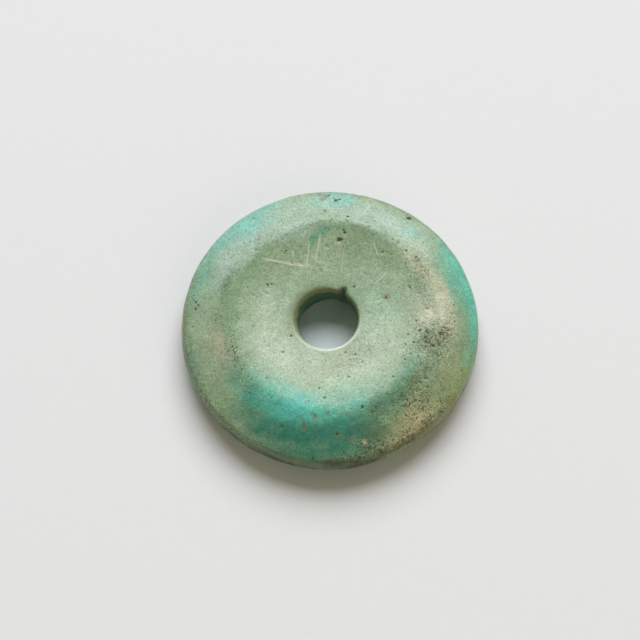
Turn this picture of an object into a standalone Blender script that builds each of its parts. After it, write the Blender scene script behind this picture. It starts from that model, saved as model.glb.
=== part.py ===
"""A turquoise disc bead: one flat ring of stone, ground by hand and drilled from both faces.

Metres, +Z up. The bead lies on its plainer face, and the origin is at the middle of its underside.
Turns round the bead are in degrees from +X, anticlockwise from above.
"""

import math

import bmesh
import bpy
from mathutils import Matrix, Vector

# Driving dimensions
DIAMETER = 0.03035  # before the edge is rounded off
THICKNESS = 0.00475  # at the ridge, before its crest is rounded off
UPPER_MOUTH = 0.00655  # the hole's diameter in the upper face
UPPER_MOUTH_HEIGHT = 0.00375
HOLE_WAIST = 0.00575  # diameter at the narrowest, where the two drillings meet
WAIST_HEIGHT = 0.0025
LOWER_MOUTH = 0.00695
LOWER_MOUTH_HEIGHT = 0.0003
RIDGE_DIAMETER = 0.0203  # crest of the ring between the dished face and the bevel
DISH_DIAMETER = 0.0130  # where the floor of the dish starts to rise to the ridge
DISH_FALL = 0.00025  # from the edge of the dish's floor to the mouth of the hole
BEVEL_SLOPE = math.radians(21.0)
EDGE_LEAN = 0.00045  # how far the shoulder at the foot of the bevel stands inside the edge
EDGE_HEIGHT = 0.00135  # where the rounded edge turns under
UNDERCUT = 0.0023  # how far inside the edge the underside starts
BASE_INNER_DIAMETER = 0.0130  # the flat ring that the bead rests on ends here

# Roundings of the section's corners
WAIST_ROUND = 0.0015
LIP_ROUND = 0.0004
DISH_ROUND = 0.0150
RIDGE_ROUND = 0.0020
SHOULDER_ROUND = 0.0010
EDGE_ROUND = 0.0010
FOOT_ROUND = 0.0014
BASE_ROUND = 0.0060

# What the hand left uneven
HOLE_OFFSET = Vector((-0.00025, 0.0001))  # of its upper mouth
HOLE_LEAN = Vector((0.0005, 0.0))  # how far its axis moves from the upper mouth to the underside
RIDGE_OFFSET = Vector((0.0, 0.0003))
LOBES = ((2, 0.0045, -50.0), (3, 0.0020, 5.0), (6, 0.0020, 24.0))  # count, part of the radius, turn
WEAR_TURN = -92.0  # the ridge is rubbed down most on this side
WEAR_DEPTH = 0.00020
WEAR_WIDTH = 0.0015
NOTCH_TURN = 57.0  # a nick in the upper lip of the hole
NOTCH_SPREAD = 6.0
NOTCH_DEPTH = 0.0005
NOTCH_REACH = 0.0013  # its mark on the face has faded out this far from the mouth

SIDES = 112
STONE_COLOUR = (0.31, 0.46, 0.35, 1.0)
STONE_ROUGHNESS = 0.55


def section_corners():
    """Corners of the bead's section: radius, height, rounding, steps in the arc, steps after it."""
    edge = DIAMETER / 2
    ridge = RIDGE_DIAMETER / 2
    shoulder = edge - EDGE_LEAN
    shoulder_height = THICKNESS - (shoulder - ridge) * math.tan(BEVEL_SLOPE)
    return (
        (HOLE_WAIST / 2, WAIST_HEIGHT, WAIST_ROUND, 2, 2),
        (UPPER_MOUTH / 2, UPPER_MOUTH_HEIGHT, LIP_ROUND, 4, 3),
        (DISH_DIAMETER / 2, UPPER_MOUTH_HEIGHT + DISH_FALL, DISH_ROUND, 4, 1),
        (ridge, THICKNESS, RIDGE_ROUND, 4, 4),
        (shoulder, shoulder_height, SHOULDER_ROUND, 5, 1),
        (edge, EDGE_HEIGHT, EDGE_ROUND, 4, 1),
        (edge - UNDERCUT, 0.0, FOOT_ROUND, 2, 2),
        (BASE_INNER_DIAMETER / 2, 0.0, BASE_ROUND, 1, 2),
        (LOWER_MOUTH / 2, LOWER_MOUTH_HEIGHT, LIP_ROUND, 3, 1),
    )


def section_points():
    """The rounded section as (radius, height) points, from the waist of the hole up and round."""
    corners = section_corners()
    arcs = []
    for index, (radius, height, rounding, arc_steps, _) in enumerate(corners):
        corner = Vector((radius, height, 0.0))
        ahead = corners[(index + 1) % len(corners)]
        to_last = (Vector((*corners[index - 1][:2], 0.0)) - corner).normalized()
        to_next = (Vector((*ahead[:2], 0.0)) - corner).normalized()
        half_angle = to_last.angle(to_next) / 2
        centre = corner + (to_last + to_next).normalized() * rounding / math.sin(half_angle)
        first_arm = corner + to_last * rounding / math.tan(half_angle) - centre
        last_arm = corner + to_next * rounding / math.tan(half_angle) - centre
        arc = [first_arm.slerp(last_arm, step / arc_steps) for step in range(arc_steps + 1)]
        arcs.append([centre + rounding * direction for direction in arc])
    points = []
    for index, arc in enumerate(arcs):
        points += arc
        run_steps = corners[index][4]
        run_end = arcs[(index + 1) % len(arcs)][0]
        points += [arc[-1].lerp(run_end, step / run_steps) for step in range(1, run_steps)]
    return [(point.x, point.y) for point in points]


def smooth_step(value, low, high):
    """0 below low, 1 above high, and a smooth rise between them."""
    part = min(max((value - low) / (high - low), 0.0), 1.0)
    return part * part * (3 - 2 * part)


def turn_from(turn, middle):
    """The angle in degrees from middle to turn, between -180 and 180."""
    return (turn - middle + 180.0) % 360.0 - 180.0


def worn(point):
    """Where a point of the true ring lies on the bead as ground, worn and nicked."""
    radius = math.hypot(point.x, point.y)
    turn = math.degrees(math.atan2(point.y, point.x))
    edge = DIAMETER / 2
    mouth = UPPER_MOUTH / 2
    upper = smooth_step(point.z, THICKNESS / 2, THICKNESS * 0.8)

    wear = math.cos(math.radians(turn_from(turn, WEAR_TURN)) / 2) ** 2
    from_ridge = (radius - RIDGE_DIAMETER / 2) / WEAR_WIDTH
    height = point.z - upper * WEAR_DEPTH * wear * math.exp(-from_ridge**2)

    nick = math.exp(-((turn_from(turn, NOTCH_TURN) / NOTCH_SPREAD) ** 2))
    reach = 1.0 - smooth_step(radius, mouth, mouth + NOTCH_REACH)
    grown = radius + upper * nick * reach * NOTCH_DEPTH

    for count, part, lobe_turn in LOBES:
        swell = math.cos(math.radians(count * turn_from(turn, lobe_turn)))
        grown += edge * part * swell * (radius / edge) ** 2
    hole_share = 1.0 - smooth_step(radius, mouth, DISH_DIAMETER / 2)
    ridge_share = (1.0 - hole_share) * (1.0 - smooth_step(radius, RIDGE_DIAMETER / 2, edge)) * upper
    lean = 1.0 - point.z / UPPER_MOUTH_HEIGHT
    offset = (HOLE_OFFSET + HOLE_LEAN * lean) * hole_share + RIDGE_OFFSET * ridge_share
    angle = math.radians(turn)
    return Vector((grown * math.cos(angle) + offset.x, grown * math.sin(angle) + offset.y, height))


def centre_over_origin(mesh):
    """Move the mesh so that the middle of its box stands over the origin, with its base at z = 0."""
    low = [min(vertex.co[axis] for vertex in mesh.verts) for axis in range(3)]
    high = [max(vertex.co[axis] for vertex in mesh.verts) for axis in range(3)]
    middle = Vector(((low[0] + high[0]) / 2, (low[1] + high[1]) / 2, low[2]))
    mesh.transform(Matrix.Translation(-middle))


def stone_material():
    """Weathered turquoise, pale green with a soft wax-like shine."""
    material = bpy.data.materials.new("turquoise")
    material.use_nodes = True
    shader = material.node_tree.nodes["Principled BSDF"]
    shader.inputs["Base Color"].default_value = STONE_COLOUR
    shader.inputs["Roughness"].default_value = STONE_ROUGHNESS
    shader.inputs["Metallic"].default_value = 0.0
    return material


def make_bead():
    """The whole bead: its section spun once round, then worn."""
    mesh = bmesh.new()
    ring = [mesh.verts.new((radius, 0.0, height)) for radius, height in section_points()]
    edges = [mesh.edges.new((ring[index - 1], ring[index])) for index in range(len(ring))]
    bmesh.ops.spin(
        mesh,
        geom=ring + edges,
        cent=(0.0, 0.0, 0.0),
        axis=(0.0, 0.0, 1.0),
        angle=2 * math.pi,
        steps=SIDES,
        use_merge=True,
    )
    for vertex in mesh.verts:
        vertex.co = worn(vertex.co)
    centre_over_origin(mesh)
    bmesh.ops.recalc_face_normals(mesh, faces=mesh.faces)

    data = bpy.data.meshes.new("disc_bead")
    mesh.to_mesh(data)
    mesh.free()
    data.shade_smooth()
    data.materials.append(stone_material())
    bead = bpy.data.objects.new("disc_bead", data)
    bpy.context.scene.collection.objects.link(bead)


def main():
    for old in list(bpy.data.objects):
        bpy.data.objects.remove(old, do_unlink=True)
    make_bead()


main()
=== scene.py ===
"""The turquoise disc bead as it looks: ground, worn and stained stone lying on pale paper.

Metres, +Z up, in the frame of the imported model. A place on the bead is a turn and a reach: the turn
is in degrees from +X, anticlockwise from above, and the reach is a part of the bead's radius.
"""

import math
import random

import bpy
import numpy as np
from mathutils import Matrix, Vector, noise


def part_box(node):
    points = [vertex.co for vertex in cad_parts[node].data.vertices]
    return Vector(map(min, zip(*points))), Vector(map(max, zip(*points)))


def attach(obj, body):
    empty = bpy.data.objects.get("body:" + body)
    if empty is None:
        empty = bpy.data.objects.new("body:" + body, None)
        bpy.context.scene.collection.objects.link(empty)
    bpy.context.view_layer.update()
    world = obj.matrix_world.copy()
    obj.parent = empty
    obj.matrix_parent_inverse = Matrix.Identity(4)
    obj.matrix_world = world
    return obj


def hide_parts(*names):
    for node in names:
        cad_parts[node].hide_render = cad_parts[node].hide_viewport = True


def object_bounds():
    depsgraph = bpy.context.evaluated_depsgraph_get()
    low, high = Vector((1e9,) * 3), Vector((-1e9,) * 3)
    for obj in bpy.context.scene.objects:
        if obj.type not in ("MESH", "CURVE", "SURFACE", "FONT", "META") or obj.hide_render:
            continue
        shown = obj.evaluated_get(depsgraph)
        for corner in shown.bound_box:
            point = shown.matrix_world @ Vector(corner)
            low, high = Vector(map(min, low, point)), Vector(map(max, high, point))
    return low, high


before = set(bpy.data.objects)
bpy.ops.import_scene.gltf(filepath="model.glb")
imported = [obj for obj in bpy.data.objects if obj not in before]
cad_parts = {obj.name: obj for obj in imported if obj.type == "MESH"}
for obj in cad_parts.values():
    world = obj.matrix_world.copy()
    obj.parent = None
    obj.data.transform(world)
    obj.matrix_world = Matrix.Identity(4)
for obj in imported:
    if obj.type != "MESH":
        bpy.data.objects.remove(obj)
cad_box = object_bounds()
MM = 0.001

# ---------------------------------------------------------------- the bead's form
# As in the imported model, apart from the rounding of the shoulder, which is 1.0 mm there
DIAMETER = 30.35 * MM  # before the edge is rounded off
THICKNESS = 4.75 * MM  # at the ridge, before its crest is rounded off
UPPER_MOUTH = 6.55 * MM  # the hole's diameter in the upper face
UPPER_MOUTH_HEIGHT = 3.75 * MM
HOLE_WAIST = 5.75 * MM  # diameter at the narrowest, where the two drillings meet
WAIST_HEIGHT = 2.5 * MM
LOWER_MOUTH = 6.95 * MM
LOWER_MOUTH_HEIGHT = 0.3 * MM
RIDGE_DIAMETER = 20.3 * MM
DISH_DIAMETER = 13.0 * MM
DISH_FALL = 0.25 * MM  # from the edge of the dish's floor to the mouth of the hole
BEVEL_SLOPE = math.radians(21.0)
EDGE_LEAN = 0.45 * MM  # how far the shoulder at the foot of the bevel stands inside the edge
EDGE_HEIGHT = 1.35 * MM  # where the rounded edge turns under
UNDERCUT = 2.3 * MM  # how far inside the edge the underside starts
BASE_INNER_DIAMETER = 13.0 * MM  # the flat ring that the bead rests on ends here

WAIST_ROUND = 1.5 * MM
LIP_ROUND = 0.4 * MM
DISH_ROUND = 15.0 * MM
RIDGE_ROUND = 2.0 * MM
SHOULDER_ROUND = 0.65 * MM
EDGE_ROUND = 1.0 * MM
FOOT_ROUND = 1.4 * MM
BASE_ROUND = 6.0 * MM

HOLE_OFFSET = (-0.25 * MM, 0.1 * MM)  # of its upper mouth
HOLE_LEAN = (0.5 * MM, 0.0 * MM)  # how far its axis moves from the upper mouth to the underside
RIDGE_OFFSET = (0.0 * MM, 0.3 * MM)
LOBES = ((2, 0.0045, -50.0), (3, 0.0020, 5.0), (6, 0.0020, 24.0))  # count, part of the radius, turn
WEAR_TURN = -92.0  # the ridge is rubbed down most on this side
WEAR_DEPTH = 0.20 * MM
WEAR_WIDTH = 1.5 * MM
WEAR_FROM = THICKNESS / 2  # wear, the nick and the ridge's offset set in between these heights
WEAR_FULL = THICKNESS * 0.8
NOTCH_TURN = 57.0  # a nick in the upper lip of the hole
NOTCH_SPREAD = 6.0
NOTCH_DEPTH = 0.5 * MM
NOTCH_REACH = 1.3 * MM  # its mark on the face has faded out this far from the mouth

SIDES = 640  # points round the bead
RINGS = 150  # and round its section
ARC_STEPS = 24  # in each rounding, before the section is divided into rings
UNDERSIDE_DENSITY = 0.25  # rings on the hidden face, against those on the upper one
UNDERSIDE_TOP = 0.6 * MM  # the height at which the rings have drawn together
LIP_DENSITY = 2.0  # rings round the upper lip of the hole, against those on the upper face
LIP_SURROUND = (0.4 * MM, 1.0 * MM)  # from the mouth, between which they spread out again

# ---------------------------------------------------------------- view and light
VIEW_TILT = 23.0  # degrees from straight down
VIEW_ROLL = -4.35
VIEW_DISTANCE = 161 * MM
VIEW_WIDTH = 64.4 * MM  # what the frame takes in, at the bead
VIEW_START = 1 * MM  # nothing nearer to the camera is seen
AIM_RIGHT = -0.95 * MM  # the middle of the frame, from the bead's middle
AIM_UP = 0.45 * MM
SENSOR_WIDTH = 36.0

LIGHT_DISTANCE = 1300 * MM
WINDOW_RISE = 42.5  # degrees above the floor, from behind the bead
WINDOW_TURN = 81.0
WINDOW_SIZE = (1370 * MM, 920 * MM)  # breadth and height
WINDOW_POWER = 20.4
WINDOW_COLOUR = (0.995, 1.0, 1.09)
ROOM_RISE = 28.0
ROOM_TURN = -62.0
ROOM_SIZE = (1500 * MM, 900 * MM)
ROOM_POWER = 3.2
ROOM_COLOUR = (1.0, 0.97, 0.74)  # the sky's as well
SKY_STRENGTH = 0.31
SKY_HIDDEN = 0.75  # how much of the sky's light is held off by whoever stands over the bead
SKY_HIDDEN_CORE = 25.0  # degrees from the line of sight, up to which it is held off in full
SKY_HIDDEN_EDGE = 52.0  # and beyond which none is

FLOOR_HALF = 1500 * MM
FLOOR_GAP = 0.02 * MM  # keeps the paper clear of the face that rests on it
PAPER_TONE = 0.80
PAPER_TOOTH = 0.035
PAPER_GRAIN = (0.8, 5.0, 0.75)  # scale to the millimetre, detail and roughness, as in every grain here
PAPER_ROUGHNESS = 0.9
PAPER_SPECULAR = 0.2

# ---------------------------------------------------------------- places and colours of the stone
REACH_RADIUS = 15.0 * MM  # the bead's own, once its edge is rounded off: a reach is a part of it
WALL_TOP = 2.9 * MM  # below it, on the wall of the edge, a reach goes on growing
WALL_SHARE = 0.45  # with this part of the height lost
WALL_START = (0.90, 0.97)  # the reaches between which that sets in
MARKED_FROM = THICKNESS * 0.35  # single marks lie on the upper side, above this height

# How stains wander: size of the wandering, its octaves, and how far it goes, in degrees and in reach
DRIFTS = ((2.6 * MM, 3, 3.5, 0.022), (0.8 * MM, 2, 1.2, 0.008))
DRIFT_CORE = 0.4  # nearer to the middle than this reach, the degrees no longer grow

CLOUD_SHIFT = (17.3, -9.1, 5.7)  # from the random field of one seed to that of the next
CLOUD_SMOOTHNESS = 1.0
CLOUD_FINENESS = 2.0  # of each octave, against the last
TURN_SEED = 1  # two seeds, one for each drift
REACH_SEED = 3  # two more
BREAK_SEED = 5
TONE_SEED = 6
SWELL_SEED = 20

COAT_OCTAVES = 4
BREAK_SIZE = 1.1 * MM  # of the broken pattern that the coats' edges follow
COAT_SHIFT = 53  # turns of the mesh by which the pattern moves from one coat to the next
COATED_FROM = 0.3 * MM  # the coats fade out between these heights, towards the hidden face
COATED_FULL = 1.2 * MM
COATED_RAGGED = 0.4 * MM
TONE_SIZE = 1.9 * MM
TONE_CHANGE = 0.10
GREEN = (0.245, 0.355, 0.200)  # the stone under the coats

# Each coat: its colour, how ragged its edge is, and its patches as turn, reach, spread round the bead in
# degrees, spread in reach, and strength. Coats are laid one over another in this order.
COATS = (
    ((0.402, 0.511, 0.352), 0.25, (  # pale plateau
        (-125, 0.34, 48, 0.170, 0.95), (-55, 0.38, 40, 0.170, 0.90), (-172, 0.40, 30, 0.130, 0.75),
        (-15, 0.38, 26, 0.160, 0.90), (-150, 0.42, 24, 0.100, 0.80), (164, 0.42, 16, 0.070, 0.55),
        (10, 0.53, 30, 0.090, 0.50), (92, 0.60, 14, 0.030, 0.30), (100, 0.42, 38, 0.120, 0.42),
        (0, 0.38, 22, 0.160, 0.60), (44, 0.44, 16, 0.100, 0.35), (135, 0.50, 8, 0.050, 0.40),
        (104, 0.64, 8, 0.040, 0.60), (-32, 0.50, 14, 0.060, 0.50), (-45, 0.29, 12, 0.040, 0.70),
        (90, 0.52, 14, 0.080, 0.35), (16, 0.28, 14, 0.050, 0.50), (150, 0.30, 14, 0.060, 0.45),
    )),
    # pale stone with a painted highlight on the far slope, which faces the window
    ((0.338, 0.468, 0.362), 0.30, (  # pale far slope
        (62, 0.82, 24, 0.090, 0.90), (100, 0.84, 22, 0.100, 0.65), (138, 0.79, 17, 0.090, 1.00),
        (38, 0.80, 10, 0.070, 0.70), (108, 0.69, 14, 0.060, 0.90), (180, 0.86, 22, 0.080, 0.60),
        (154, 0.78, 10, 0.060, 0.65), (64, 0.72, 14, 0.030, 0.40), (122, 0.80, 12, 0.060, 0.60),
        (152, 0.93, 10, 0.050, 0.60), (76, 0.86, 10, 0.060, 0.50), (120, 0.90, 16, 0.080, 0.40),
    )),
    ((0.145, 0.255, 0.120), 0.45, (  # shaded ridge
        (-168, 0.65, 24, 0.035, 0.55), (168, 0.70, 16, 0.075, 0.70), (155, 0.71, 7, 0.040, 0.30),
        (72, 0.69, 26, 0.022, 0.90), (40, 0.67, 20, 0.035, 0.30), (145, 0.64, 16, 0.040, 0.62),
        (120, 0.71, 10, 0.020, 0.40), (180, 0.63, 12, 0.030, 0.35), (92, 0.70, 8, 0.020, 0.30),
    )),
    ((0.300, 0.385, 0.225), 0.40, (  # left slope
        (-168, 0.74, 9, 0.050, 0.95), (-160, 0.86, 18, 0.070, 0.55), (-176, 0.84, 16, 0.080, 0.70),
        (-148, 0.945, 16, 0.025, 0.30), (-155, 0.725, 12, 0.045, 0.65), (-165, 0.665, 9, 0.030, 0.50),
    )),
    ((0.170, 0.295, 0.200), 0.40, (  # green left rim
        (-163, 0.95, 11, 0.030, 0.60), (-172, 0.93, 8, 0.030, 0.50),
    )),
    ((0.200, 0.285, 0.165), 0.30, (  # left wall
        (-140, 1.00, 24, 0.022, 0.65), (-112, 0.99, 14, 0.016, 0.40),
    )),
    ((0.400, 0.500, 0.360), 0.40, (  # pale left slope
        (-160, 0.725, 13, 0.035, 0.55), (-144, 0.78, 9, 0.040, 0.40), (150, 0.925, 11, 0.040, 0.45),
    )),
    ((0.370, 0.395, 0.260), 0.40, (  # tan left slope
        (-166, 0.76, 12, 0.050, 0.90), (-178, 0.73, 8, 0.035, 0.70),
    )),
    ((0.345, 0.410, 0.245), 0.50, (  # yellowed plateau
        (-90, 0.38, 20, 0.060, 0.45), (-68, 0.32, 10, 0.050, 0.60), (-84, 0.29, 16, 0.030, 0.35),
        (-172, 0.26, 12, 0.025, 0.70),
    )),
    ((0.300, 0.520, 0.390), 0.35, (  # aqua-tinted plateau
        (-118, 0.575, 18, 0.040, 0.70), (-98, 0.57, 12, 0.035, 0.45), (-138, 0.60, 10, 0.040, 0.40),
    )),
    ((0.255, 0.450, 0.300), 0.40, (  # tinted plateau
        (-96, 0.55, 26, 0.070, 0.75), (-72, 0.56, 14, 0.060, 0.60), (20, 0.33, 26, 0.080, 0.40),
        (10, 0.44, 16, 0.060, 0.30),
    )),
    ((0.050, 0.300, 0.208), 0.35, (  # teal slope
        (-106, 0.78, 24, 0.070, 1.00), (-132, 0.75, 15, 0.060, 0.95), (-85, 0.75, 15, 0.060, 1.00),
        (-146, 0.77, 10, 0.035, 0.30), (-74, 0.70, 9, 0.040, 0.35),
    )),
    ((0.088, 0.500, 0.380), 0.35, (  # turquoise
        (-114, 0.67, 15, 0.060, 1.00), (-119, 0.73, 10, 0.045, 1.00), (-98, 0.65, 16, 0.050, 0.60),
        (-134, 0.67, 12, 0.045, 0.60), (-78, 0.63, 11, 0.050, 0.50), (-126, 0.60, 14, 0.045, 0.50),
        (-106, 0.605, 12, 0.030, 0.35), (-92, 0.71, 8, 0.035, 0.50),
    )),
    ((0.130, 0.520, 0.450), 0.35, (  # bright turquoise
        (-115, 0.70, 9, 0.035, 0.80), (-105, 0.70, 4, 0.030, 0.40),
    )),
    ((0.036, 0.200, 0.130), 0.40, (  # deep turquoise
        (-106, 0.86, 20, 0.055, 1.00), (-92, 0.82, 13, 0.050, 0.95), (-77, 0.81, 10, 0.060, 0.95),
        (-122, 0.88, 12, 0.050, 0.60), (-92, 0.92, 11, 0.060, 0.90), (-134, 0.84, 12, 0.080, 0.25),
        (-108, 0.95, 14, 0.050, 0.70), (-102, 0.785, 14, 0.040, 0.90), (-120, 0.84, 10, 0.040, 0.60),
    )),
    ((0.210, 0.500, 0.390), 0.35, (  # pale aqua ridge
        (-84, 0.675, 9, 0.030, 0.50), (-68, 0.705, 6, 0.030, 0.40),
    )),
    ((0.100, 0.300, 0.190), 0.45, (  # green ridge
        (-57, 0.69, 12, 0.065, 0.95), (-58, 0.73, 8, 0.035, 0.55), (-42, 0.65, 10, 0.055, 0.65),
        (-68, 0.70, 8, 0.040, 0.60),
    )),
    # dull green stone, with painted shade on the wall under the near edge
    ((0.125, 0.235, 0.130), 0.50, (  # dull near edge
        (-124, 1.03, 24, 0.016, 0.50), (-69, 0.76, 11, 0.040, 0.45), (-56, 0.73, 14, 0.035, 0.65),
        (-98, 1.00, 18, 0.030, 0.85), (-170, 0.99, 14, 0.025, 0.50), (-150, 1.02, 14, 0.016, 0.30),
        (-16, 0.89, 10, 0.050, 0.60), (-44, 0.73, 8, 0.030, 0.50), (16, 0.83, 8, 0.030, 0.35),
    )),
    ((0.095, 0.385, 0.255), 0.30, (  # aqua edge
        (22, 0.90, 11, 0.060, 1.00), (8, 0.94, 13, 0.050, 1.00), (26, 0.95, 7, 0.050, 0.70),
        (-8, 0.97, 10, 0.030, 0.90), (14, 0.85, 11, 0.045, 0.65), (-22, 0.95, 8, 0.050, 0.30),
        (30, 0.90, 7, 0.040, 0.40),
    )),
    ((0.115, 0.490, 0.370), 0.30, (  # bright rim
        (-1, 0.975, 9, 0.025, 1.00), (14, 0.965, 14, 0.030, 0.80), (24, 0.93, 7, 0.040, 0.60),
    )),
    ((0.185, 0.475, 0.385), 0.35, (  # aqua slope
        (124, 0.93, 12, 0.075, 1.00), (112, 0.97, 8, 0.040, 0.80), (139, 0.95, 10, 0.050, 0.80),
        (124, 0.85, 7, 0.060, 0.60), (83, 0.95, 8, 0.050, 0.90), (81, 0.88, 5, 0.050, 0.70),
        (45, 0.83, 4, 0.050, 0.60), (92, 0.89, 5, 0.040, 0.40),
    )),
    ((0.165, 0.385, 0.265), 0.35, (  # teal far left
        (154, 0.92, 10, 0.060, 0.85), (164, 0.95, 6, 0.030, 0.50),
    )),
    ((0.125, 0.330, 0.210), 0.30, (  # green smear
        (88, 0.635, 3.5, 0.030, 0.90), (92, 0.61, 3.5, 0.030, 0.95), (96, 0.58, 3.5, 0.030, 0.90),
        (99, 0.54, 3, 0.030, 0.60),
    )),
    ((0.600, 0.615, 0.450), 0.35, (  # cream crest
        (-2, 0.65, 9, 0.075, 1.00), (3, 0.76, 10, 0.055, 1.00), (14, 0.77, 10, 0.040, 0.40),
        (-13, 0.73, 8, 0.040, 0.45), (34, 0.77, 7, 0.040, 0.25), (0, 0.82, 8, 0.030, 0.25),
        (30, 0.66, 8, 0.030, 0.40), (-31, 0.69, 7, 0.035, 0.30),
    )),
    ((0.430, 0.405, 0.245), 0.45, (  # tan slope
        (174, 0.975, 6, 0.025, 0.55), (-13, 0.79, 7, 0.045, 0.70), (24, 0.73, 12, 0.045, 0.50),
        (10, 0.78, 10, 0.040, 0.40), (30, 0.71, 5, 0.030, 0.40), (-28, 0.84, 10, 0.040, 0.35),
    )),
    ((0.350, 0.345, 0.165), 0.45, (  # olive-tan
        (-56, 0.88, 11, 0.080, 1.00), (-48, 0.80, 8, 0.050, 0.55), (-64, 0.94, 6, 0.050, 0.60),
        (-30, 0.87, 14, 0.055, 0.45), (31, 0.88, 8, 0.050, 0.40), (30, 0.70, 9, 0.050, 0.25),
    )),
    ((0.245, 0.275, 0.105), 0.35, (  # olive edge
        (-38, 0.95, 13, 0.050, 0.85), (-28, 0.97, 8, 0.030, 0.40),
    )),
    ((0.500, 0.435, 0.270), 0.60, (  # pale tan
        (-52, 0.92, 6, 0.040, 0.75), (-57, 0.88, 5, 0.030, 0.50), (-63, 0.945, 8, 0.018, 0.55),
    )),
    ((0.265, 0.205, 0.075), 0.50, (  # brown-tan
        (-64, 0.985, 11, 0.035, 0.90), (-46, 1.02, 14, 0.030, 0.80), (-58, 0.96, 6, 0.020, 0.30),
        (-73, 0.97, 6, 0.020, 0.50),
    )),
    ((0.155, 0.200, 0.085), 0.60, (  # olive grime
        (-18, 0.67, 9, 0.045, 0.60), (-48, 0.72, 10, 0.035, 0.60), (-16, 0.74, 8, 0.040, 0.45),
        (22, 0.69, 12, 0.030, 0.40), (8, 0.64, 8, 0.030, 0.25), (-38, 0.85, 7, 0.050, 0.40),
        (56, 0.97, 40, 0.025, 0.40), (176, 0.97, 16, 0.030, 0.50), (-72, 0.86, 6, 0.050, 0.50),
    )),
    ((0.085, 0.205, 0.120), 0.50, (  # green grime
        (-76, 0.87, 5, 0.050, 0.60), (-106, 0.75, 7, 0.030, 0.30),
    )),
    # brown crust, and painted shade on the wall under the edge round the near half
    ((0.080, 0.076, 0.034), 0.70, (  # brown crust
        (-84, 1.01, 8, 0.030, 0.80), (-68, 0.99, 8, 0.016, 0.60), (-91, 1.02, 9, 0.026, 0.75),
        (-75, 0.87, 7, 0.050, 0.25), (-76, 0.965, 5, 0.020, 0.35), (-138, 1.038, 24, 0.022, 0.90),
        (-112, 1.038, 20, 0.024, 0.90), (-48, 1.045, 20, 0.014, 0.70), (-168, 1.045, 18, 0.014, 0.70),
        (-20, 1.045, 16, 0.014, 0.60), (-101, 1.01, 9, 0.026, 0.45), (-122, 0.995, 10, 0.012, 0.40),
    )),
)

# Where the fine dark grit sits, laid out as the patches of a coat
GRIT = (
    (-22, 0.70, 15, 0.110, 1.00), (-50, 0.80, 14, 0.110, 0.85), (-78, 0.93, 14, 0.060, 0.90),
    (-14, 0.80, 12, 0.060, 0.40), (-66, 0.72, 12, 0.080, 0.70), (-165, 0.68, 20, 0.060, 0.60),
    (14, 0.66, 22, 0.080, 0.30), (30, 0.72, 12, 0.060, 0.40), (75, 0.69, 25, 0.040, 0.40),
    (-138, 0.72, 14, 0.050, 0.30), (-60, 0.36, 20, 0.080, 0.40), (160, 0.72, 20, 0.070, 0.30),
    (90, 0.50, 40, 0.120, 0.30), (100, 0.80, 40, 0.100, 0.15), (-145, 0.97, 30, 0.040, 0.60),
    (-54, 0.95, 16, 0.050, 0.75), (-82, 0.99, 11, 0.045, 0.95), (-64, 0.99, 10, 0.030, 0.70),
)
GRIT_EVERYWHERE = 0.12
GRIT_RAGGED = 0.5

# ---------------------------------------------------------------- relief, in millimetres
SWELLS = ((4.5, 0.055), (1.3, 0.016), (0.5, 0.006))  # size and height
SWELL_OCTAVES = 2
REST_TOP = 0.5  # below this height the swells fade out: the ring that the bead rests on is level
PIT_COUNT = 160
PIT_RADIUS = (0.15, 0.32)
PIT_SMALLNESS = 2.5  # the greater it is, the more of the pits are small
PIT_STEEPNESS = 0.32  # depth, as a part of the radius
PIT_DIRT = 0.6  # at most
PIT_FLOOR = 0.8  # none lies below this height
PIT_NEAREST = 0.24  # nor nearer to the middle than this reach
PIT_CHANCE = 0.15  # that one is kept at the edge, to which the thickness of the grit is added
PIT_SEED = 11

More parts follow.
